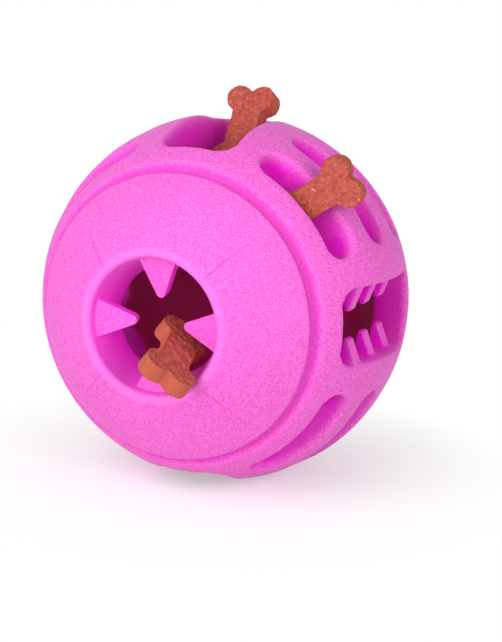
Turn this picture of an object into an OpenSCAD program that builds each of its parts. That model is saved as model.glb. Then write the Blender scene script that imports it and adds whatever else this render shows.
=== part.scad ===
// Treat dispensing ball: a hollow rubber ball with a toothed mouth at each end of
// its polar axis and a band of slots and windows between its two domes. Three
// bone-shaped biscuits are lodged in it. Millimetres, +Z up, the front mouth faces
// -Y, and the origin is the middle of the ball.

/* [Ball] */
// Outer diameter of the ball
ball_d = 80; // [78:0.5:84]
// Thickness of the rubber wall
wall = 8; // [7:0.5:9]
// How far along the ball's radius the joint between each dome and its ring lies
seat_share = 0.629; // [0.62:0.003:0.65]
// Radius of the groove that runs round the ball at each of those joints
groove_r = 1.4; // [0.8:0.1:1.6]

/* [Band] */
// Width of the plain ring between the front dome and the slots
front_ring_w = 3.9; // [3:0.1:5]
// Width of the plain ring between the rear dome and the slots
rear_ring_w = 10.7; // [9.5:0.1:12]
// Width of the rim that joins the quarters of the band past each window's end
rim_w = 2.2; // [1.6:0.2:2.8]
// Width of a slot as a share of the distance from slot to slot
slot_share = 0.544; // [0.5:0.004:0.58]
// How much smaller the rounding of a slot's end is than half of the slot's width
slot_end_step = 0.1; // [0.1:0.05:0.3]
// Sweep of each slot round the band, between the centres of its round ends
slot_sweep = 33; // [29:0.5:36]
// Width of each window, round the band
window_w = 16.2; // [15:0.2:17.6]
// Corner radius of each window
window_corner_r = 4; // [2:0.5:6]

/* [Window combs] */
// Height that each comb tooth stands out from the window's side wall
comb_l = 5.2; // [3:0.2:6]
// Width of each comb tooth
comb_w = 3.4; // [2.4:0.2:4]
// Distance from comb tooth to comb tooth as a share of the window's length
comb_share = 0.283; // [0.24:0.003:0.288]
// Thickness of a comb tooth at its root
comb_root_t = 4; // [3:0.2:4.4]
// Thickness of a comb tooth at its tip
comb_tip_t = 1.4; // [0.8:0.2:2]
// How far the outward face of a comb tooth falls from root to tip
comb_fall = 2; // [1:0.2:2.4]
// Depth of a comb tooth's root below the ball's surface at the window's edge
comb_set = 3.3; // [3:0.1:3.6]

/* [Mouths] */
// Diameter of each mouth at its lip
mouth_d = 28; // [27:0.25:29]
// How much narrower the mouth gets on each side by its inner end
mouth_taper = 2.8; // [2:0.2:3.2]
// Radius of the mouth's rounded lip
lip_r = 1.2; // [0.8:0.1:2]
// How far the mouth's inner end stands past the joint between dome and ring
collar_rise = 1.8; // [1.2:0.2:2.4]

/* [Mouth teeth] */
// Length of a mouth tooth from the axis of its root to its tip
tooth_l = 6.8; // [6.2:0.2:7.4]
// Width of a mouth tooth at its root
tooth_w = 7; // [5:0.2:7.4]
// Thickness of a mouth tooth
tooth_t = 2.8; // [2:0.1:2.9]
// Radius of the rounded root about which a tooth flexes
root_r = 1.7; // [1.55:0.05:1.8]
// Radius of the tooth's round tip
tooth_tip_r = 1; // [0.6:0.1:1.4]
// How far a tooth slopes into the ball
tooth_slope = 15; // [8:1:20]
// Distance of a root's axis in from the mouth's wall
tooth_inset = 1; // [0.8:0.05:1.1]
// Depth of a root's axis below the centre of the lip's rounding
tooth_depth = 2.6; // [2.2:0.1:3]
// Clearance round the root where the tooth flexes
flex_gap = 0.3; // [0.2:0.05:0.4]

/* [Biscuits] */
// Overall length of a biscuit
biscuit_l = 20.6; // [18:0.2:21]
// Space left beside a biscuit in a slot, on each side
slot_clearance = 1.1; // [1:0.05:1.4]
// Width of a biscuit's shaft
shaft_w = 7.2; // [5:0.2:7.4]
// Radius of each of a biscuit's four lobes
lobe_r = 3.2; // [2.6:0.1:3.3]
// Distance between the two lobes at one end, centre to centre
lobe_pitch = 5.4; // [4.4:0.1:5.6]

/* [Hidden] */

$fn = 96;
quarter = 90;
rubber = [0.98, 0.36, 0.84];
rubber_deep = [0.88, 0.16, 0.7];
baked = [0.77, 0.36, 0.29];

// Everything is cut a little past the face that it goes through
overrun = wall / 4;
ball_r = ball_d / 2;
hollow_r = ball_r - wall;
// The slots and windows are cut from the middle of the hollow outwards
cut_from = hollow_r / 2;

// Heights are measured along the polar axis from the ball's middle towards a mouth
seat_h = ball_r * seat_share;
groove_x = sqrt(pow(ball_r, 2) - pow(seat_h, 2));

// The band's windows and slots fill it from rim to rim
slots = 3;
band_front = seat_h - front_ring_w;
band_rear = rear_ring_w - seat_h;
band_middle = (band_front + band_rear) / 2;
window_l = band_front - band_rear - 2 * rim_w;
slot_pitch = window_l / (slots - 1 + slot_share);
slot_w = slot_pitch * slot_share;

// The mouth tapers from its lip, whose rounding touches the ball's surface from inside
mouth_r = mouth_d / 2;
throat_r = mouth_r - mouth_taper;
collar_h = seat_h + collar_rise;
collar_x = sqrt(pow(hollow_r, 2) - pow(collar_h, 2));
lip_x = mouth_r + lip_r;
lip_h = sqrt(pow(ball_r - lip_r, 2) - pow(lip_x, 2));
lip_out = [lip_x, lip_h] / (ball_r - lip_r);

// The teeth's roots lie along the mouth's tapered wall
root_h = lip_h - tooth_depth;
root_x = throat_r + mouth_taper * (root_h - collar_h) / (lip_h - collar_h) - tooth_inset;

window_edge_x = sqrt(pow(ball_r, 2) - pow(window_w / 2, 2));
comb_x = window_edge_x - comb_set;
comb_pitch = window_l * comb_share;

// Each biscuit lies against an edge, and its middle is a few of its own sizes from there
biscuit_t = slot_w - 2 * slot_clearance;
window_rear_y = window_l / 2 - band_middle;
window_rear_edge = [0, window_rear_y, sqrt(pow(ball_r, 2) - pow(window_rear_y, 2))];
biscuit_top_place = window_rear_edge + biscuit_t * [0.01, -1.01, -0.54];
biscuit_top_turn = [-0.2, -59, 86.7];
front_slot_y = -band_middle - slot_pitch;
biscuit_slot_place = [0.643 * ball_r, front_slot_y + 0.06 * slot_w, 0.648 * ball_r];
biscuit_slot_turn = [88.1, -33.1, 7.6];
bottom_root = [0, -root_h, -root_x];
biscuit_mouth_place = bottom_root + tooth_l * [0.676, -0.294, 0.955];
biscuit_mouth_turn = [-35.3, 16.3, -77.7];

// The polar frame has its axis along +Z, towards the front mouth
module polar() {
    rotate([quarter, 0, 0]) children();
}

// Half of the wall's section, between two heights on the polar axis
module wall_section(low, high) {
    intersection() {
        difference() {
            circle(r = ball_r);
            circle(r = hollow_r);
        }
        translate([0, low]) square([ball_r, high - low]);
    }
}

module groove_section() {
    translate([groove_x, seat_h]) circle(r = groove_r);
}

// A plain ring from a height on the polar axis to the joint with its dome
module ring(low) {
    rotate_extrude() difference() {
        wall_section(low, seat_h);
        groove_section();
    }
}

// The thick collar round the mouth, flat at its inner end
module collar_section() {
    intersection() {
        circle(r = ball_r);
        translate([0, collar_h]) square([collar_x + overrun, ball_r]);
    }
}

// The mouth's opening, from the hollow to past the lip
module mouth_section() {
    polygon([
        [0, seat_h], [throat_r, seat_h], [throat_r, collar_h], [mouth_r, lip_h], [lip_x, lip_h],
        [lip_x, lip_h] + lip_out * (lip_r + overrun), [0, ball_r + wall]
    ]);
}

module dome() {
    difference() {
        rotate_extrude() {
            difference() {
                union() {
                    wall_section(seat_h, ball_r);
                    collar_section();
                }
                groove_section();
                mouth_section();
            }
            translate([lip_x, lip_h]) circle(r = lip_r);
        }
        for (turn = [0 : quarter : 3 * quarter])
            rotate([0, 0, turn]) root_barrel(root_r + flex_gap, tooth_w + 2 * flex_gap);
    }
}

// A short barrel along the axis about which a mouth tooth flexes
module root_barrel(radius, length) {
    translate([root_x, 0, root_h]) rotate([quarter, 0, 0])
        cylinder(r = radius, h = length, center = true);
}

// Angle between a tooth's middle line and its straight side
function side_angle(reach) = atan2(tooth_w / 2, reach)
    - asin(tooth_tip_r / norm([reach, tooth_w / 2]));

module tooth_outline() {
    reach = tooth_l - tooth_tip_r;
    side = side_angle(reach);
    touch = [reach + tooth_tip_r * sin(side), tooth_tip_r * cos(side)];
    polygon([[0, -tooth_w / 2], [touch.x, -touch.y], touch, [0, tooth_w / 2]]);
    translate([reach, 0]) circle(r = tooth_tip_r);
}

// One mouth tooth, turned round the polar axis to its place
module tooth(turn) {
    color(rubber) rotate([0, 0, turn]) {
        translate([root_x, 0, root_h]) rotate([0, 2 * quarter - tooth_slope, 0])
            linear_extrude(tooth_t, center = true) tooth_outline();
        root_barrel(root_r, tooth_w);
    }
}

// A window's outline across the ball, as a prism that starts in the hollow
module window_prism() {
    side = window_w / 2 - window_corner_r;
    end = window_l / 2 - window_corner_r;
    translate([cut_from, 0, band_middle]) rotate([quarter, 0, quarter]) linear_extrude(ball_r) {
        square([window_w, 2 * end], center = true);
        square([2 * side, window_l], center = true);
        for (across = [-side, side], along = [-end, end])
            translate([across, along]) circle(r = window_corner_r);
    }
}

// One slot, swept round the band at its height, with round ends
module slot_cut(height) {
    rotate([0, 0, quarter / 2 - slot_sweep / 2]) {
        rotate_extrude(angle = slot_sweep)
            translate([cut_from, height - slot_w / 2]) square([ball_r, slot_w]);
        for (turn = [0, slot_sweep])
            rotate([0, 0, turn]) translate([cut_from / 2, 0, height]) rotate([0, quarter, 0])
                cylinder(r = slot_w / 2 - slot_end_step, h = ball_r);
    }
}

// The slotted quarter of the band between two windows
module grille(turn) {
    color(rubber) polar() rotate([0, 0, turn]) difference() {
        rotate_extrude(angle = quarter) wall_section(band_rear, band_front);
        for (side = [0, quarter]) rotate([0, 0, side]) window_prism();
        for (row = [-1 : slots - 2]) slot_cut(band_middle + row * slot_pitch);
    }
}

// Section of a comb tooth, from the window's side wall towards the window's middle
module comb_section() {
    polygon([
        [comb_x, 0], [comb_x - comb_root_t, 0],
        [comb_x - comb_fall - comb_tip_t, comb_l], [comb_x - comb_fall, comb_l]
    ]);
}

// A row of comb teeth on one side wall of a window
module comb(window_turn, side) {
    color(rubber_deep) polar() rotate([0, 0, window_turn])
        for (place = [-1 : 1])
            translate([0, side * window_w / 2, band_middle + place * comb_pitch - comb_w / 2])
                mirror([0, side > 0 ? 1 : 0, 0]) linear_extrude(comb_w) comb_section();
}

// A bone-shaped biscuit about its middle, its length along X and its thickness along Z
module biscuit() {
    color(baked) linear_extrude(biscuit_t, center = true) {
        square([biscuit_l - 2 * lobe_r, shaft_w], center = true);
        for (end = [-1, 1], side = [-1, 1])
            translate([end * (biscuit_l / 2 - lobe_r), side * lobe_pitch / 2]) circle(r = lobe_r);
    }
}

module front_ring() { color(rubber) polar() ring(band_front); }
module rear_ring() { color(rubber) polar() mirror([0, 0, 1]) ring(-band_rear); }
module front_dome() { color(rubber) polar() dome(); }
module rear_dome() { color(rubber) polar() mirror([0, 0, 1]) dome(); }

module grille_upper_right() { grille(0); }
module grille_upper_left() { grille(quarter); }
module grille_lower_left() { grille(2 * quarter); }
module grille_lower_right() { grille(3 * quarter); }

module front_tooth_right() { polar() tooth(0); }
module front_tooth_top() { polar() tooth(quarter); }
module front_tooth_left() { polar() tooth(2 * quarter); }
module front_tooth_bottom() { polar() tooth(3 * quarter); }
module rear_tooth_right() { polar() mirror([0, 0, 1]) tooth(0); }
module rear_tooth_top() { polar() mirror([0, 0, 1]) tooth(quarter); }
module rear_tooth_left() { polar() mirror([0, 0, 1]) tooth(2 * quarter); }
module rear_tooth_bottom() { polar() mirror([0, 0, 1]) tooth(3 * quarter); }

module right_comb_upper() { comb(0, 1); }
module right_comb_lower() { comb(0, -1); }
module left_comb_upper() { comb(2 * quarter, -1); }
module left_comb_lower() { comb(2 * quarter, 1); }

module biscuit_top() { translate(biscuit_top_place) rotate(biscuit_top_turn) biscuit(); }
module biscuit_slot() { translate(biscuit_slot_place) rotate(biscuit_slot_turn) biscuit(); }
module biscuit_mouth() { translate(biscuit_mouth_place) rotate(biscuit_mouth_turn) biscuit(); }

front_ring();
rear_ring();
front_dome();
rear_dome();
grille_upper_right();
grille_upper_left();
grille_lower_left();
grille_lower_right();
front_tooth_right();
front_tooth_top();
front_tooth_left();
front_tooth_bottom();
rear_tooth_right();
rear_tooth_top();
rear_tooth_left();
rear_tooth_bottom();
right_comb_upper();
right_comb_lower();
left_comb_upper();
left_comb_lower();
biscuit_top();
biscuit_slot();
biscuit_mouth();
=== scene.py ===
"""Dresses the treat dispensing ball: its rubber shell, its flexible mouth teeth and the biscuits in it."""

from __future__ import annotations

import logging
import math
from dataclasses import dataclass, field, replace
from enum import Enum

import bmesh
import bpy
from mathutils import Matrix, Vector, noise
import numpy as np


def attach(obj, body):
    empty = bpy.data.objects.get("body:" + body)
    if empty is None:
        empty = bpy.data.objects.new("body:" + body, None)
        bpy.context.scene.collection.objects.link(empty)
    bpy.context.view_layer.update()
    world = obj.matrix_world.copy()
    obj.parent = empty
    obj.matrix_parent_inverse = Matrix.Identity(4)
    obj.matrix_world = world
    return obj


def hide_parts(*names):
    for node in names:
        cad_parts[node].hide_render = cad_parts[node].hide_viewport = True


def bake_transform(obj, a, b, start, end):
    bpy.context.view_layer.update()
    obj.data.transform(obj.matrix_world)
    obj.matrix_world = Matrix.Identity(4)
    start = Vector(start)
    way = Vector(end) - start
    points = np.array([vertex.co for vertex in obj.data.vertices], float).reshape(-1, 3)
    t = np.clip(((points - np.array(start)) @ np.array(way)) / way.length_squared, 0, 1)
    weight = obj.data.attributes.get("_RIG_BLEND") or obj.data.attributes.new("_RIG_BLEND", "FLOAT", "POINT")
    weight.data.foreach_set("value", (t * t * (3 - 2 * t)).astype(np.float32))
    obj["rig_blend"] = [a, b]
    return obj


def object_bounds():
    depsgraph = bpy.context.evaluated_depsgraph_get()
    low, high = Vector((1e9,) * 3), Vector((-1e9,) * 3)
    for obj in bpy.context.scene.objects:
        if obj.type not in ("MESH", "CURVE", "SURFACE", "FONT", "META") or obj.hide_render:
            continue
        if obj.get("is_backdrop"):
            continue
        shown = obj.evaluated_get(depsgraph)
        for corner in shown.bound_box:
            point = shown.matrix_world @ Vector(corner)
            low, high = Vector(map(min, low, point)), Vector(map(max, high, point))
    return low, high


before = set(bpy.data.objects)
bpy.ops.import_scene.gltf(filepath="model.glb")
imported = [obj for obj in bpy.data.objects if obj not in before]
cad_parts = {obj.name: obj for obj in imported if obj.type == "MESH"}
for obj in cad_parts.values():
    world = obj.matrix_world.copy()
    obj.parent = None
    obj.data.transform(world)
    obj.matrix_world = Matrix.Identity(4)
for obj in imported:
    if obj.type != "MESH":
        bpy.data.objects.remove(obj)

MILLIMETRE = 0.001
ROOT_BODY = "ball"

log = logging.getLogger("treat_ball")


class End(Enum):
    """The two ends of the ball's polar axis. The value is the end's side along Y."""

    FRONT = -1
    REAR = 1


class Place(Enum):
    """Where a tooth sits round a mouth. The value is its turn from +X towards +Z, in degrees."""

    RIGHT = 0
    TOP = 90
    LEFT = 180
    BOTTOM = 270


def mm(value: float) -> float:
    """Returns a length given in millimetres, in metres."""
    return value * MILLIMETRE


WELD_DISTANCE = mm(0.001)


@dataclass(frozen=True)
class BallSizes:
    """The sizes that the shell's pieces share, as in the CAD."""

    outer_r: float = mm(40)
    hollow_r: float = mm(32)
    seat_h: float = mm(25.16)
    groove_r: float = mm(1.4)
    mouth_r: float = mm(14)
    throat_r: float = mm(11.2)
    collar_h: float = mm(26.96)
    lip_r: float = mm(1.2)
    root_x: float = mm(12.1669)
    root_h: float = mm(33.0987)
    tooth_l: float = mm(6.8)
    tooth_w: float = mm(7)
    tooth_t: float = mm(2.8)
    tooth_tip_r: float = mm(1)
    tooth_slope: float = math.radians(15)

    @property
    def groove_x(self) -> float:
        """Distance of the groove's centre from the polar axis."""
        return math.sqrt(self.outer_r**2 - self.seat_h**2)

    @property
    def lip(self) -> Vector:
        """Centre of the lip's rounding: its distance from the polar axis and its height on it."""
        across = self.mouth_r + self.lip_r
        return Vector((across, math.sqrt((self.outer_r - self.lip_r) ** 2 - across**2)))


def end_name(end: End, kind: str) -> str:
    """Returns the name of a node or a piece at one end of the ball, which starts with that end."""
    return f"{end.name.lower()}_{kind}"


def shown_object(name: str, mesh: bpy.types.Mesh) -> bpy.types.Object:
    """Links a mesh into the scene as an object at the origin.

    Args:
        name: The object's name.
        mesh: Its mesh, already in the row frame.

    Returns:
        The new object.
    """
    piece = bpy.data.objects.new(name, mesh)
    bpy.context.scene.collection.objects.link(piece)
    return piece


def mesh_from(name: str, bm: bmesh.types.BMesh, smooth: bool = True) -> bpy.types.Mesh:
    """Turns a bmesh into a mesh with outward faces, and frees the bmesh.

    Args:
        name: The mesh's name.
        bm: The bmesh to use up.
        smooth: Whether the faces are shaded smooth.

    Returns:
        The new mesh.
    """
    bmesh.ops.recalc_face_normals(bm, faces=bm.faces)
    for face in bm.faces:
        face.smooth = smooth
    mesh = bpy.data.meshes.new(name)
    bm.to_mesh(mesh)
    bm.free()
    return mesh


def add_node_copy(node: str, bm: bmesh.types.BMesh) -> None:
    """Adds a copy of a CAD node's mesh to a bmesh, with its loose triangles merged.

    Args:
        node: The CAD node's name.
        bm: The bmesh that takes the copy.
    """
    part = bmesh.new()
    part.from_mesh(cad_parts[node].data)
    bmesh.ops.remove_doubles(part, verts=part.verts, dist=WELD_DISTANCE)
    copy = bpy.data.meshes.new("copy")
    part.to_mesh(copy)
    part.free()
    bm.from_mesh(copy)
    bpy.data.meshes.remove(copy)


def apply_modifiers(piece: bpy.types.Object) -> None:
    """Bakes an object's modifiers into its mesh, because the mesh is shaped further afterwards.

    Args:
        piece: The object, whose modifiers are used up.
    """
    graph = bpy.context.evaluated_depsgraph_get()
    baked = bpy.data.meshes.new_from_object(piece.evaluated_get(graph))
    old = piece.data
    piece.modifiers.clear()
    piece.data = baked
    bpy.data.meshes.remove(old)


def fuse(piece: bpy.types.Object, voxel: float, rounds: int) -> None:
    """Fuses overlapping solids in one mesh into a single soft-edged moulding.

    Args:
        piece: The object whose mesh holds the solids.
        voxel: Size of the remesh's cells, in metres.
        rounds: How many times the surface is smoothed.
    """
    remesh = piece.modifiers.new("fuse", "REMESH")
    remesh.mode = "VOXEL"
    remesh.voxel_size = voxel
    remesh.use_smooth_shade = True
    soften = piece.modifiers.new("soften", "SMOOTH")
    soften.factor = 0.5
    soften.iterations = rounds
    apply_modifiers(piece)


def arc(centre: Vector, radius: float, start: float, finish: float, steps: int) -> list[Vector]:
    """Lists points along an arc in a section.

    Args:
        centre: The arc's centre.
        radius: Its radius.
        start: The angle of its first point, in radians.
        finish: The angle of its last point.
        steps: How many equal steps lie between them.

    Returns:
        The points, from first to last.
    """
    angles = (start + (finish - start) * step / steps for step in range(steps + 1))
    return [centre + radius * Vector((math.cos(angle), math.sin(angle))) for angle in angles]


def finish_piece(piece: bpy.types.Object, material: bpy.types.Material, body: str) -> None:
    """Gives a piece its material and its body.

    Args:
        piece: The object.
        material: Its only material.
        body: The CAD body it moves with.
    """
    piece.data.materials.clear()
    piece.data.materials.append(material)
    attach(piece, body)
    log.info("built %s: %d faces", piece.name, len(piece.data.polygons))


def share(value: float, start: float, end: float) -> float:
    """Returns how far a value lies from a start to an end, between 0 and 1."""
    return min(max((value - start) / (end - start), 0.0), 1.0)


def section_spot(place: Vector) -> Vector:
    """Returns a place's distance from the polar axis and its height on it, on either side of the middle."""
    return Vector((math.hypot(place.x, place.z), abs(place.y)))


@dataclass(frozen=True)
class DepthMarks:
    """Marks where painted shade goes on a rubber piece: where it lies sunk in the ball and where it faces
    the hollow.

    One attribute paints a saturated shade on the walls of openings and the groove's floor. Faces that look
    outwards, like those of the teeth, count as shallow and get less of it. The other paints dark shade on
    the hollow's skin.
    """

    sizes: BallSizes
    wall_start: float = mm(0.5)
    wall_full: float = mm(2.7)
    outward_start: float = 0.35
    outward_full: float = 0.75
    outward_relief: float = 0.85
    hollow_start: float = 0.2
    hollow_full: float = 0.7
    # Where and how strongly painted shade is laid into the groove between a dome and the band.
    groove_skin: float = mm(0.4)
    groove_start: float = mm(0.2)
    groove_full: float = mm(1.0)
    groove_deep: float = 0.7
    groove_inner: float = 0.4

    def mark(self, piece: bpy.types.Object, groove_share: float = 0.6) -> None:
        """Writes both attributes of painted shade on a piece.

        Args:
            piece: The piece, in the row frame.
            groove_share: How strongly its part of a groove gets painted shade.
        """
        attributes = piece.data.attributes
        for name in ("deep", "inner"):
            attributes.new(name, "FLOAT", "POINT")
        values = [self._at(vert, groove_share) for vert in piece.data.vertices]
        for (depth, hollow), deep, inner in zip(values, attributes["deep"].data, attributes["inner"].data):
            deep.value = depth
            inner.value = hollow

    def _at(self, vert: bpy.types.MeshVertex, groove_share: float) -> tuple[float, float]:
        """Returns a vertex's painted shade for how far it lies sunk and how far it faces the hollow, each
        between 0 and 1.

        Args:
            vert: The vertex.
            groove_share: How strongly the groove gets painted shade.
        """
        sizes = self.sizes
        away = vert.co.length
        out = vert.normal.dot(vert.co) / away
        sunk = sizes.outer_r - away
        relief = self.outward_relief * share(out, self.outward_start, self.outward_full)
        depth = share(sunk, self.wall_start, self.wall_full) * (1.0 - relief)
        hollow = share(-out, self.hollow_start, self.hollow_full)
        # Painted shade in the groove's crease, stronger towards its floor.
        off = (section_spot(vert.co) - Vector((sizes.groove_x, sizes.seat_h))).length - sizes.groove_r
        if abs(off) < self.groove_skin:
            grooved = groove_share * share(sunk, self.groove_start, self.groove_full)
            depth = max(depth, self.groove_deep * grooved)
            hollow = max(hollow, self.groove_inner * grooved)
        return depth, hollow


class Shading:
    """Adds the nodes of one shader tree."""

    def __init__(self, tree: bpy.types.NodeTree) -> None:
        """Takes the tree to add to.

        Args:
            tree: A material's, a world's or a group's node tree.
        """
        self.tree = tree

    def node(
        self, kind: str, **links: bpy.types.NodeSocket | float | tuple[float, ...]
    ) -> bpy.types.Node:
        """Adds a node and fills its inputs.

        Args:
            kind: The node's type, without the ShaderNode prefix.
            links: For each input, with spaces as underscores, a socket to link or a value to set.

        Returns:
            The node.
        """
        node = self.tree.nodes.new(f"ShaderNode{kind}")
        for name, value in links.items():
            socket = node.inputs[name.replace("_", " ")]
            if isinstance(value, bpy.types.NodeSocket):
                self.tree.links.new(value, socket)
            else:
                socket.default_value = value
        return node

    def ramp(
        self, value: bpy.types.NodeSocket, start: float, end: float, low: float = 0.0, high: float = 1.0
    ) -> bpy.types.NodeSocket:
        """Maps a value from one range to another, clamped.

        Args:
            value: The value's socket.
            start: The value that gives low.
            end: The value that gives high.
            low: The result at the start.
            high: The result at the end.

        Returns:
            The result's socket.
        """
        node = self.node("MapRange", Value=value)
        node.inputs["From Min"].default_value = start
        node.inputs["From Max"].default_value = end
        node.inputs["To Min"].default_value = low
        node.inputs["To Max"].default_value = high
        return node.outputs["Result"]

    def blend(
        self,
        factor: bpy.types.NodeSocket,
        first: bpy.types.NodeSocket,
        second: bpy.types.NodeSocket | tuple[float, float, float],
    ) -> bpy.types.NodeSocket:
        """Mixes two colours.

        Args:
            factor: How much of the second colour is taken, as a socket.
            first: The first colour's socket.
            second: The second colour's socket, or the colour itself.

        Returns:
            The mixed colour's socket.
        """
        node = self.tree.nodes.new("ShaderNodeMix")
        node.data_type = "RGBA"
        self.tree.links.new(factor, node.inputs["Factor"])
        self.tree.links.new(first, node.inputs["A"])
        if isinstance(second, bpy.types.NodeSocket):
            self.tree.links.new(second, node.inputs["B"])
        else:
            node.inputs["B"].default_value = (*second, 1.0)
        return node.outputs["Result"]

    def math(
        self, operation: str, first: bpy.types.NodeSocket, second: bpy.types.NodeSocket | float = 0.0
    ) -> bpy.types.NodeSocket:
        """Adds one sum.

        Args:
            operation: The Math node's operation.
            first: Its first value's socket.
            second: Its second value, as a socket or a number.

        Returns:
            The result's socket.
        """
        node = self.tree.nodes.new("ShaderNodeMath")
        node.operation = operation
        self.tree.links.new(first, node.inputs[0])
        if isinstance(second, bpy.types.NodeSocket):
            self.tree.links.new(second, node.inputs[1])
        else:
            node.inputs[1].default_value = second
        return node.outputs[0]

    def attribute(self, name: str) -> bpy.types.NodeSocket:
        """Reads one of the mesh's own attributes.

        Args:
            name: The attribute's name.

        Returns:
            The socket of its value.
        """
        node = self.tree.nodes.new("ShaderNodeAttribute")
        node.attribute_name = name
        return node.outputs["Fac"]


@dataclass(frozen=True)
class Grain:
    """The shares of a noise that turn into dark specks, pale specks and larger patches."""

    group_name: str = "moulded grain"
    dark_specks: tuple[float, float] = (0.48, 0.36)
    pale_specks: tuple[float, float] = (0.52, 0.66)
    speck_detail: float = 2.0
    speck_roughness: float = 0.7
    patches: tuple[float, float] = (0.3, 0.7)
    patch_levels: tuple[float, float] = (0.96, 1.03)
    patch_detail: float = 3.0


def grain_group(grain: Grain) -> bpy.types.ShaderNodeTree:
    """Builds the shader group that speckles a colour and gives the height of its grain, once.

    Args:
        grain: The grain's shares.

    Returns:
        A group that takes Base, Dark, Pale, Speck Scale and Patch Scale, and puts out Color and Height.
    """
    known = bpy.data.node_groups.get(grain.group_name)
    if known:
        return known
    group = bpy.data.node_groups.new(grain.group_name, "ShaderNodeTree")
    face = group.interface
    for name in ("Base", "Dark", "Pale"):
        face.new_socket(name, in_out="INPUT", socket_type="NodeSocketColor")
    for name in ("Speck Scale", "Patch Scale"):
        face.new_socket(name, in_out="INPUT", socket_type="NodeSocketFloat")
    face.new_socket("Color", in_out="OUTPUT", socket_type="NodeSocketColor")
    face.new_socket("Height", in_out="OUTPUT", socket_type="NodeSocketFloat")
    inside = group.nodes.new("NodeGroupInput")
    outside = group.nodes.new("NodeGroupOutput")

    shading = Shading(group)
    place = shading.node("TexCoord").outputs["Object"]
    specks = shading.node(
        "TexNoise",
        Vector=place,
        Scale=inside.outputs["Speck Scale"],
        Detail=grain.speck_detail,
        Roughness=grain.speck_roughness,
    )
    patches = shading.node(
        "TexNoise", Vector=place, Scale=inside.outputs["Patch Scale"], Detail=grain.patch_detail
    )
    speck = specks.outputs["Fac"]
    dark_share = shading.ramp(speck, *grain.dark_specks)
    darker = shading.blend(dark_share, inside.outputs["Base"], inside.outputs["Dark"])
    paler = shading.blend(shading.ramp(speck, *grain.pale_specks), darker, inside.outputs["Pale"])
    level = shading.ramp(patches.outputs["Fac"], *grain.patches, *grain.patch_levels)
    patchy = shading.node("HueSaturation", Value=level, Color=paler)
    group.links.new(patchy.outputs["Color"], outside.inputs["Color"])
    group.links.new(speck, outside.inputs["Height"])
    return group


@dataclass(frozen=True)
class Finish:
    """A finish with its grain: a base colour that small specks darken and lighten.

    The bump's distance is a speck's size divided by sizes_per_bump.
    """

    name: str
    base: tuple[float, float, float]
    dark: tuple[float, float, float]
    pale: tuple[float, float, float]
    roughness: float
    specular: float
    speck_size: float
    patch_size: float
    bump: float
    sizes_per_bump: float = 3.0

    def start(self) -> tuple[bpy.types.Material, Shading, bpy.types.Node, bpy.types.Node]:
        """Makes a material with a Principled shader, its grain and the grain's bump.

        Returns:
            The material, its shading, the Principled node and the grain's node.
        """
        material = bpy.data.materials.new(self.name)
        material.use_nodes = True
        shader = material.node_tree.nodes["Principled BSDF"]
        shader.inputs["Roughness"].default_value = self.roughness
        shader.inputs["Specular IOR Level"].default_value = self.specular
        shading = Shading(material.node_tree)
        grain = shading.tree.nodes.new("ShaderNodeGroup")
        grain.node_tree = grain_group(Grain())
        for name, colour in (("Base", self.base), ("Dark", self.dark), ("Pale", self.pale)):
            grain.inputs[name].default_value = (*colour, 1.0)
        grain.inputs["Speck Scale"].default_value = 1 / self.speck_size
        grain.inputs["Patch Scale"].default_value = 1 / self.patch_size
        bump = shading.node("Bump", Strength=self.bump, Distance=self.speck_size / self.sizes_per_bump)
        shading.tree.links.new(grain.outputs["Height"], bump.inputs["Height"])
        shading.tree.links.new(bump.outputs["Normal"], shader.inputs["Normal"])
        return material, shading, shader, grain


@dataclass(frozen=True)
class RubberFinish(Finish):
    """Matte rubber with a fine grain, as it comes from a blasted mould."""

    # Painted colours: a saturated shade for sunk walls, a dark shade for the hollow's skin, a pale highlight
    # for the lips.
    deep: tuple[float, float, float] = (0.96, 0.006, 0.75)
    inner: tuple[float, float, float] = (0.43, 0.002, 0.11)
    lip_highlight: tuple[float, float, float] = (0.94, 0.20, 0.76)
    sheen: float = 0.13
    sheen_roughness: float = 0.5
    sheen_tint: tuple[float, float, float] = (1.0, 0.78, 0.97)
    seam: tuple[float, float, float] | None = None
    seam_width: float = mm(0.3)
    seam_core: float = mm(0.1)
    seam_start: float = mm(21)
    seam_end: float = mm(27)

    def build(self) -> bpy.types.Material:
        """Builds the rubber's material.

        Returns:
            The material.
        """
        material, shading, shader, grain = self.start()
        colour = grain.outputs["Color"]
        if self.seam is not None:
            colour = self._seamed(shading, colour)
        # Blends in the painted highlight on the lips, the painted shade on sunk walls and the groove, and
        # the dark painted shade of the hollow.
        for name, shade in (("lip_highlight", self.lip_highlight), ("deep", self.deep), ("inner", self.inner)):
            colour = shading.blend(shading.attribute(name), colour, shade)
        shading.tree.links.new(colour, shader.inputs["Base Color"])
        shader.inputs["Sheen Weight"].default_value = self.sheen
        shader.inputs["Sheen Roughness"].default_value = self.sheen_roughness
        shader.inputs["Sheen Tint"].default_value = (*self.sheen_tint, 1.0)
        return material

    def _seamed(self, shading: Shading, colour: bpy.types.NodeSocket) -> bpy.types.NodeSocket:
        """Draws the mould's four faint seams between the teeth, which fade out towards the groove.

        Args:
            shading: The material's shading.
            colour: The grain's colour.

        Returns:
            The colour with the seams.
        """
        place = shading.node("TexCoord").outputs["Object"]
        parts = shading.node("SeparateXYZ", Vector=place)
        across = shading.math("ABSOLUTE", parts.outputs["X"])
        up = shading.math("ABSOLUTE", parts.outputs["Z"])
        off = shading.math("ABSOLUTE", shading.math("SUBTRACT", across, up))
        line = shading.ramp(off, self.seam_width, self.seam_core)
        reach = shading.math("ADD", across, up)
        diagonal = math.sqrt(2)
        faded = shading.ramp(reach, self.seam_start * diagonal, self.seam_end * diagonal, 1.0, 0.0)
        return shading.blend(shading.math("MULTIPLY", line, faded), colour, self.seam)


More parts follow.
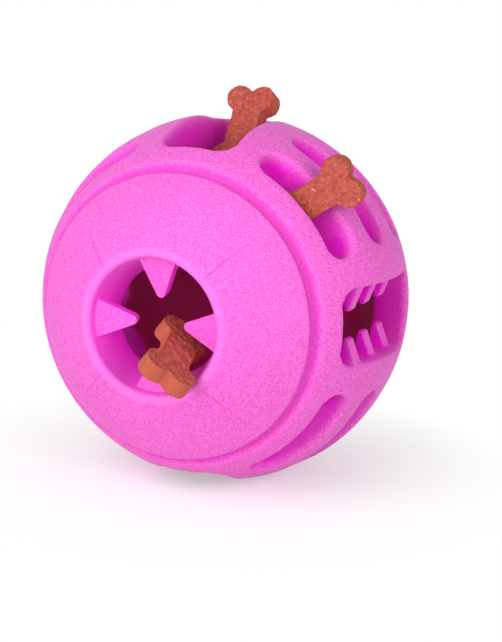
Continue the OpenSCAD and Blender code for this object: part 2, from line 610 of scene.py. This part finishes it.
@dataclass(frozen=True)
class BiscuitFinish(Finish):
    """Baked biscuit: crumbly on its broad faces and smoother round its sides."""

    side: tuple[float, float, float] = (0.49, 0.108, 0.062)
    side_from: float = 0.65
    crumb: tuple[float, float, float] = (0.76, 0.33, 0.22)
    crumb_size: float = mm(1.1)
    crumb_detail: float = 3.0
    crumb_roughness: float = 0.65
    crumb_levels: tuple[float, float] = (0.63, 0.72)

    def build(self) -> bpy.types.Material:
        """Builds the biscuit's material.

        Returns:
            The material.
        """
        material, shading, shader, grain = self.start()
        broad = shading.attribute("broad")
        crumbs = shading.node(
            "TexNoise",
            Vector=shading.node("TexCoord").outputs["Object"],
            Scale=1 / self.crumb_size,
            Detail=self.crumb_detail,
            Roughness=self.crumb_roughness,
        )
        crumb_share = shading.ramp(crumbs.outputs["Fac"], *self.crumb_levels)
        mask = shading.math("MULTIPLY", crumb_share, broad)
        plain = shading.blend(shading.ramp(broad, self.side_from, 0.0), grain.outputs["Color"], self.side)
        shading.tree.links.new(shading.blend(mask, plain, self.crumb), shader.inputs["Base Color"])
        return material


@dataclass
class Shell:
    """The hollow rubber ball without its mouth teeth: the slotted band and the two domes.

    The trims are the angles, in radians, that take off the sharp corner between a dome and its groove.
    """

    sizes: BallSizes
    overlap: float = mm(1.2)
    throat_round: float = mm(0.9)
    voxel: float = mm(0.42)
    edge_rounds: int = 11
    comb_rounds: int = 4
    band_triangles: int = 190_000
    skin_reach: float = mm(0.3)
    skin_facing: float = 0.99
    dome_steps: int = 240
    foot_steps: int = 8
    throat_steps: int = 8
    lip_steps: int = 20
    face_steps: int = 46
    groove_steps: int = 12
    edge_trim: float = 0.006
    groove_trim: float = 0.16
    # Strength and reach of the pale painted highlight on a lip's rounding.
    lip_highlight_share: float = 0.55
    lip_highlight_reach: float = mm(0.2)
    # Strength of the painted shade in a dome's part of the groove.
    dome_groove_share: float = 1.0
    plain_nodes: list[str] = field(
        default_factory=lambda: [
            "front_ring",
            "rear_ring",
            "grille_upper_right",
            "grille_upper_left",
            "grille_lower_left",
            "grille_lower_right",
        ]
    )
    comb_nodes: list[str] = field(
        default_factory=lambda: [
            "right_comb_upper",
            "right_comb_lower",
            "left_comb_upper",
            "left_comb_lower",
        ]
    )

    def band(self) -> bpy.types.Object:
        """Fuses the band's rings and slotted quarters, and then its comb teeth, into one moulding.

        Returns:
            The band.
        """
        bm = bmesh.new()
        for node in self.plain_nodes:
            add_node_copy(node, bm)
        piece = shown_object("slotted_band", mesh_from("slotted_band", bm))
        fuse(piece, self.voxel, self.edge_rounds)
        bm = bmesh.new()
        bm.from_mesh(piece.data)
        for node in self.comb_nodes:
            add_node_copy(node, bm)
        bm.to_mesh(piece.data)
        bm.free()
        fuse(piece, self.voxel, self.comb_rounds)
        self._trued(piece)
        faces = 2 * len(piece.data.polygons)
        if faces > self.band_triangles:
            thin = piece.modifiers.new("thin", "DECIMATE")
            thin.ratio = self.band_triangles / faces
            apply_modifiers(piece)
        return piece

    def _trued(self, piece: bpy.types.Object) -> None:
        """Lays the outer skin and the hollow's skin back on true spheres, away from the cut edges.

        Args:
            piece: The fused band.
        """
        bm = bmesh.new()
        bm.from_mesh(piece.data)
        for vert in bm.verts:
            away = vert.co.length
            along = abs(vert.normal.dot(vert.co) / away)
            for skin in (self.sizes.outer_r, self.sizes.hollow_r):
                if abs(away - skin) < self.skin_reach and along > self.skin_facing:
                    vert.co *= skin / away
        bm.to_mesh(piece.data)
        bm.free()

    def dome_outline(self) -> list[Vector]:
        """Lists the points round half of a dome's section, with round stretches as arcs.

        Returns:
            Points whose X is the distance from the polar axis and whose Y is the height on it.
        """
        size = self.sizes
        middle = Vector((0, 0))
        foot_h = size.seat_h - self.overlap
        points = arc(
            middle,
            size.hollow_r,
            math.asin(foot_h / size.hollow_r),
            math.asin(size.collar_h / size.hollow_r),
            self.foot_steps,
        )

        wall = Vector((size.mouth_r - size.throat_r, size.lip.y - size.collar_h)).normalized()
        r = self.throat_round
        round_x = size.throat_r + (r + r * wall.x) / wall.y
        turn = math.atan2(wall.x, -wall.y) - math.tau
        points += arc(Vector((round_x, size.collar_h + r)), r, -math.pi / 2, turn, self.throat_steps)

        lip_end = math.atan2(size.lip.y, size.lip.x)
        points += arc(size.lip, size.lip_r, math.pi, lip_end, self.lip_steps)

        groove = Vector((size.groove_x, size.seat_h))
        meet = math.atan2(groove.y, groove.x) + 2 * math.asin(size.groove_r / (2 * size.outer_r))
        points += arc(middle, size.outer_r, lip_end, meet + self.edge_trim, self.face_steps)[1:]
        edge = Vector((math.cos(meet), math.sin(meet))) * size.outer_r - groove
        groove_start = math.atan2(edge.y, edge.x) + self.groove_trim
        points += arc(groove, size.groove_r, groove_start, math.pi, self.groove_steps)
        points += [Vector((size.groove_x - size.groove_r, foot_h))]
        return points

    def dome(self, end: End) -> bpy.types.Object:
        """Turns one dome on the polar axis.

        Args:
            end: Which end of the ball the dome closes.

        Returns:
            The dome.
        """
        outline = self.dome_outline()
        bm = bmesh.new()
        verts = [bm.verts.new((point.x, end.value * point.y, 0.0)) for point in outline]
        edges = [bm.edges.new(pair) for pair in zip(verts, verts[1:] + verts[:1])]
        bmesh.ops.spin(
            bm,
            geom=verts + edges,
            cent=(0, 0, 0),
            axis=(0, 1, 0),
            angle=math.tau,
            steps=self.dome_steps,
            use_merge=True,
        )
        bmesh.ops.remove_doubles(bm, verts=bm.verts, dist=WELD_DISTANCE)
        name = end_name(end, "dome_skin")
        return shown_object(name, mesh_from(name, bm))

    def _mark_lip(self, piece: bpy.types.Object) -> None:
        """Marks the rounding of a dome's lip for a pale painted highlight, in an attribute of its own.

        Args:
            piece: The dome.
        """
        attribute = piece.data.attributes.new("lip_highlight", "FLOAT", "POINT")
        for vert, mark in zip(piece.data.vertices, attribute.data):
            off = (section_spot(vert.co) - self.sizes.lip).length - self.sizes.lip_r
            mark.value = self.lip_highlight_share * share(off, self.lip_highlight_reach, 0.0)

    def build(self, rubber: bpy.types.Material, seamed: bpy.types.Material) -> None:
        """Builds the band and both domes and dresses them.

        Args:
            rubber: The rubber's material.
            seamed: The same rubber with the domes' faint seams.
        """
        marks = DepthMarks(self.sizes)
        band = self.band()
        # Painted shade on the band's opening walls, its part of the groove and its hollow skin.
        marks.mark(band)
        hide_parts(*self.plain_nodes, *self.comb_nodes)
        finish_piece(band, rubber, ROOT_BODY)
        for end in End:
            dome = self.dome(end)
            # Painted shade on the dome's throat, its part of the groove and its hollow skin.
            marks.mark(dome, self.dome_groove_share)
            # Pale painted highlight on the lip's rounding.
            self._mark_lip(dome)
            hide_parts(end_name(end, "dome"))
            finish_piece(dome, seamed, ROOT_BODY)


@dataclass
class MouthTeeth:
    """The eight flexible teeth, four round each mouth."""

    sizes: BallSizes
    bury: float = mm(2.6)
    tip_steps: int = 10
    voxel: float = mm(0.14)
    rounds: int = 4
    bend_start: float = mm(0.8)
    bend_end: float = mm(2.2)

    def hinge_point(self, end: End, place: Place) -> Vector:
        """Returns the middle of a tooth's root, in the row frame.

        Args:
            end: Which mouth the tooth belongs to.
            place: Where it sits round the mouth.
        """
        turn = math.radians(place.value)
        across = self.sizes.root_x * Vector((math.cos(turn), math.sin(turn)))
        return Vector((across.x, end.value * self.sizes.root_h, across.y))

    def outline(self) -> list[Vector]:
        """Lists the points round a tooth's face, from its root's axis at X 0 to its tip.

        Returns:
            The points, whose root end is long enough to lie inside the mouth's wall.
        """
        size = self.sizes
        reach = size.tooth_l - size.tooth_tip_r
        half = size.tooth_w / 2
        side = math.atan2(half, reach) - math.asin(size.tooth_tip_r / math.hypot(reach, half))
        slant = math.tan(side)
        points = [Vector((-self.bury, -half - self.bury * slant))]
        start = side - math.pi / 2
        points += arc(Vector((reach, 0)), size.tooth_tip_r, start, -start, self.tip_steps)
        points += [Vector((-self.bury, half + self.bury * slant))]
        return points

    def tooth(self, end: End, place: Place) -> bpy.types.Object:
        """Moulds one tooth, with a root that lies inside the dome.

        Args:
            end: Which mouth the tooth belongs to.
            place: Where it sits round the mouth.

        Returns:
            The tooth, which bends between the ball and its own body.
        """
        size = self.sizes
        bm = bmesh.new()
        layers = [
            [bm.verts.new((point.x, point.y, height)) for point in self.outline()]
            for height in (-size.tooth_t / 2, size.tooth_t / 2)
        ]
        for layer in layers:
            bm.faces.new(layer)
        low, high = layers
        for index in range(len(low)):
            after = (index + 1) % len(low)
            bm.faces.new((low[index], low[after], high[after], high[index]))
        inward = Vector((-math.cos(size.tooth_slope), -end.value * math.sin(size.tooth_slope), 0))
        across = Vector((0, 0, 1))
        out = inward.cross(across)
        axes = Matrix((inward, across, out)).transposed().to_4x4()
        root = Matrix.Translation((size.root_x, end.value * size.root_h, 0))
        turn = Matrix.Rotation(-math.radians(place.value), 4, "Y")
        bmesh.ops.transform(bm, matrix=turn @ root @ axes, verts=bm.verts)
        name = end_name(end, f"tooth_{place.name.lower()}_moulding")
        piece = shown_object(name, mesh_from(name, bm))
        fuse(piece, self.voxel, self.rounds)
        return piece

    def build(self, rubber: bpy.types.Material) -> None:
        """Builds all the teeth and dresses them.

        Args:
            rubber: The rubber's material.
        """
        marks = DepthMarks(self.sizes)
        for end in End:
            for place in Place:
                node = end_name(end, f"tooth_{place.name.lower()}")
                piece = self.tooth(end, place)
                # Painted shade on the teeth's sides; their outward faces get little of it.
                marks.mark(piece)
                piece.data.materials.clear()
                piece.data.materials.append(rubber)
                hinge = self.hinge_point(end, place)
                inward = Vector((-hinge.x, 0, -hinge.z)).normalized()
                start, finish = hinge - inward * self.bend_start, hinge + inward * self.bend_end
                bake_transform(piece, ROOT_BODY, node, start, finish)
                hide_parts(node)
                log.info("built %s", piece.name)


@dataclass
class Biscuits:
    """The bone-shaped biscuits that are lodged in the ball."""

    names: tuple[str, ...] = ("biscuit_top", "biscuit_slot", "biscuit_mouth")
    voxel: float = mm(0.2)
    rounds: int = 9
    lump_size: float = mm(2.8)
    lump_depth: float = mm(0.42)
    crumb_size: float = mm(1.1)
    crumb_depth: float = mm(0.42)
    crumb_on_sides: float = 0.3
    broad_start: float = 0.45
    broad_full: float = 0.85
    fractal_dimension: float = 0.8
    fractal_step: float = 2.0
    fractal_octaves: int = 3

    def build(self, baked: bpy.types.Material) -> None:
        """Builds the biscuits and dresses them.

        Args:
            baked: The biscuit's material.
        """
        for name in self.names:
            bm = bmesh.new()
            add_node_copy(name, bm)
            broad_way = max(bm.faces, key=lambda face: face.calc_area()).normal.copy()
            piece = shown_object(f"{name}_baked", mesh_from(name, bm))
            fuse(piece, self.voxel, self.rounds)
            self._roughened(piece, broad_way)
            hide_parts(name)
            finish_piece(piece, baked, name)

    def _roughened(self, piece: bpy.types.Object, broad_way: Vector) -> None:
        """Gives a biscuit its lumps, and crumbs on its broad faces.

        Args:
            piece: The smooth biscuit.
            broad_way: The direction that a broad face looks in.
        """
        piece.data.attributes.new("broad", "FLOAT", "POINT")
        bm = bmesh.new()
        bm.from_mesh(piece.data)
        layer = bm.verts.layers.float["broad"]
        moves = []
        for vert in bm.verts:
            flat = share(abs(vert.normal.dot(broad_way)), self.broad_start, self.broad_full)
            vert[layer] = flat
            lump = 0.5 + 0.5 * noise.noise(vert.co / self.lump_size)
            crumb = 0.5 + 0.5 * noise.fractal(
                vert.co / self.crumb_size, self.fractal_dimension, self.fractal_step, self.fractal_octaves
            )
            crumbly = self.crumb_on_sides + (1.0 - self.crumb_on_sides) * flat
            depth = self.lump_depth * lump + self.crumb_depth * crumb * crumbly
            moves.append(vert.normal * -depth)
        for vert, move in zip(bm.verts, moves):
            vert.co += move
        bm.to_mesh(piece.data)
        bm.free()


def direction(azimuth: float, elevation: float) -> Vector:
    """Returns the unit direction from the ball towards a place given by its azimuth and elevation.

    Args:
        azimuth: Turn from -Y towards +X, in degrees.
        elevation: Height above the horizon, in degrees.
    """
    a, e = math.radians(azimuth), math.radians(elevation)
    return Vector((math.sin(a) * math.cos(e), -math.cos(a) * math.cos(e), math.sin(e)))


@dataclass(frozen=True)
class Lamp:
    """One square soft lamp that faces the ball: angles in degrees, lengths in metres and power in watts."""

    name: str
    azimuth: float
    elevation: float
    distance: float
    size: float
    power: float

    def hang(self) -> None:
        """Hangs the lamp in the scene."""
        light = bpy.data.lights.new(self.name, "AREA")
        light.shape = "SQUARE"
        light.size = self.size
        light.energy = self.power
        lamp = bpy.data.objects.new(self.name, light)
        towards = direction(self.azimuth, self.elevation)
        lamp.location = towards * self.distance
        lamp.rotation_mode = "QUATERNION"
        lamp.rotation_quaternion = (-towards).to_track_quat("-Z", "Y")
        bpy.context.scene.collection.objects.link(lamp)
        lamp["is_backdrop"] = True


@dataclass
class Studio:
    """The white floor, the soft lights and the camera.

    Azimuth, elevation, roll and distance are the camera's, and the pixels are those of the photograph.
    """

    lamps: tuple[Lamp, ...] = (
        Lamp("key", azimuth=-22, elevation=36, distance=0.9, size=0.8, power=4.6),
        Lamp("fill", azimuth=58, elevation=18, distance=1.0, size=0.6, power=4.4),
        Lamp("reflector", azimuth=-14, elevation=3, distance=0.6, size=0.2, power=1.1),
    )
    sky_strength: float = 0.3
    floor_gap: float = mm(0.1)
    floor_half: float = 2.0
    floor_grey: float = 0.9
    shadow_grey: float = 0.95
    shadow_glow: float = 0.25
    shadow_start: float = mm(34)
    shadow_end: float = mm(80)
    distance: float = mm(400)
    azimuth: float = 24.0
    elevation: float = 10.8
    roll: float = -2.0
    focal_px: float = 1823.0
    frame_w_px: float = 502.0
    frame_h_px: float = 642.0
    ball_x_px: float = 225.6
    ball_y_px: float = 296.0
    sensor_mm: float = 36.0
    clip_start: float = 0.01
    clip_end: float = 20.0

    def seen(self, shading: Shading) -> bpy.types.NodeSocket:
        """Returns a mask that is 1 for rays by which the camera sees a surface, also in a reflection.

        Args:
            shading: The material's or the world's shading.
        """
        path = shading.node("LightPath")
        mirrored = path.outputs["Is Glossy Ray"]
        through = path.outputs["Is Transmission Ray"]
        indirect = shading.math("MAXIMUM", mirrored, through)
        return shading.math("MAXIMUM", path.outputs["Is Camera Ray"], indirect)

    def floor(self) -> None:
        """Lays the floor under the ball, which the camera sees white with the ball's shadow on it."""
        bm = bmesh.new()
        bmesh.ops.create_grid(bm, x_segments=1, y_segments=1, size=self.floor_half)
        for vert in bm.verts:
            vert.co.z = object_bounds()[0].z - self.floor_gap
        plate = shown_object("floor", mesh_from("floor", bm, smooth=False))
        material = bpy.data.materials.new("white floor")
        material.use_nodes = True
        shading = Shading(material.node_tree)
        shading.tree.nodes.remove(shading.tree.nodes["Principled BSDF"])
        plain = shading.node("BsdfDiffuse", Color=(*[self.floor_grey] * 3, 1))
        shaded = shading.node("BsdfDiffuse", Color=(*[self.shadow_grey] * 3, 1))
        glow = shading.node("Emission", Strength=self.shadow_glow)
        white = shading.node("Emission", Strength=1.0)
        near = shading.tree.nodes.new("ShaderNodeAddShader")
        shading.tree.links.new(shaded.outputs["BSDF"], near.inputs[0])
        shading.tree.links.new(glow.outputs["Emission"], near.inputs[1])
        place = shading.node("TexCoord").outputs["Object"]
        away = shading.node("VectorMath", Vector=place)
        away.operation = "LENGTH"
        far = shading.ramp(away.outputs["Value"], self.shadow_start, self.shadow_end)
        shown = self._mixed(shading, far, near.outputs["Shader"], white.outputs["Emission"])
        whole = self._mixed(shading, self.seen(shading), plain.outputs["BSDF"], shown)
        shading.tree.links.new(whole, shading.tree.nodes["Material Output"].inputs["Surface"])
        plate.data.materials.append(material)
        plate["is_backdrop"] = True

    def _mixed(
        self,
        shading: Shading,
        factor: bpy.types.NodeSocket,
        first: bpy.types.NodeSocket,
        second: bpy.types.NodeSocket,
    ) -> bpy.types.NodeSocket:
        """Mixes two shaders.

        Args:
            shading: The material's or the world's shading.
            factor: How much of the second shader is taken.
            first: The first shader's socket.
            second: The second shader's socket.

        Returns:
            The mixed shader's socket.
        """
        node = shading.tree.nodes.new("ShaderNodeMixShader")
        shading.tree.links.new(factor, node.inputs[0])
        shading.tree.links.new(first, node.inputs[1])
        shading.tree.links.new(second, node.inputs[2])
        return node.outputs["Shader"]

    def sky(self) -> None:
        """Lights the scene evenly from all round, and shows the camera plain white."""
        world = bpy.data.worlds.new("pale room")
        bpy.context.scene.world = world
        world.use_nodes = True
        shading = Shading(world.node_tree)
        lighting = shading.tree.nodes["Background"]
        lighting.inputs["Color"].default_value = (1, 1, 1, 1)
        lighting.inputs["Strength"].default_value = self.sky_strength
        shown = shading.node("Background", Color=(1, 1, 1, 1), Strength=1.0)
        whole = self._mixed(
            shading, self.seen(shading), lighting.outputs["Background"], shown.outputs["Background"]
        )
        shading.tree.links.new(whole, shading.tree.nodes["World Output"].inputs["Surface"])

    def camera(self) -> None:
        """Sets the camera where the photograph was taken from, rolled about the ball's polar axis."""
        data = bpy.data.cameras.new("camera")
        data.sensor_fit = "HORIZONTAL"
        data.sensor_width = self.sensor_mm
        data.lens = self.focal_px * self.sensor_mm / self.frame_w_px
        data.shift_x = (self.frame_w_px / 2 - self.ball_x_px) / self.frame_w_px
        data.shift_y = -(self.frame_h_px / 2 - self.ball_y_px) / self.frame_w_px
        data.clip_start = self.clip_start
        data.clip_end = self.clip_end
        camera = bpy.data.objects.new("camera", data)
        back = direction(self.azimuth, self.elevation)
        turn = (-back).to_track_quat("-Z", "Y").to_matrix().to_4x4()
        level = Matrix.Translation(back * self.distance) @ turn
        rolled = Matrix.Rotation(math.radians(self.roll), 4, "Y") @ level
        camera.location = rolled.to_translation()
        camera.rotation_mode = "QUATERNION"
        camera.rotation_quaternion = rolled.to_quaternion()
        bpy.context.scene.collection.objects.link(camera)
        bpy.context.scene.camera = camera

    def build(self) -> None:
        """Builds the floor, the lights, the sky and the camera."""
        self.floor()
        for lamp in self.lamps:
            lamp.hang()
        self.sky()
        self.camera()
        bpy.context.scene.view_settings.view_transform = "Standard"


def main() -> None:
    """Builds the whole dressed ball and its studio."""
    logging.basicConfig(level=logging.INFO, format="%(name)s: %(message)s")
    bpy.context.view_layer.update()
    rubber = RubberFinish(
        name="magenta rubber",
        base=(0.86, 0.132, 0.625),
        dark=(0.69, 0.06, 0.455),
        pale=(0.97, 0.22, 0.745),
        roughness=0.6,
        specular=0.22,
        speck_size=mm(0.32),
        patch_size=mm(25),
        bump=0.5,
    )
    seamed = replace(rubber, name="magenta rubber with seams", seam=(0.80, 0.06, 0.55))
    baked = BiscuitFinish(
        name="baked biscuit",
        base=(0.44, 0.080, 0.058),
        dark=(0.35, 0.056, 0.042),
        pale=(0.52, 0.115, 0.086),
        roughness=0.85,
        specular=0.25,
        speck_size=mm(0.9),
        patch_size=mm(5),
        bump=0.5,
    )
    sizes = BallSizes()
    plain_rubber = rubber.build()
    Shell(sizes).build(plain_rubber, seamed.build())
    MouthTeeth(sizes).build(plain_rubber)
    Biscuits().build(baked.build())
    Studio().build()


if __name__ == "__main__":
    main()
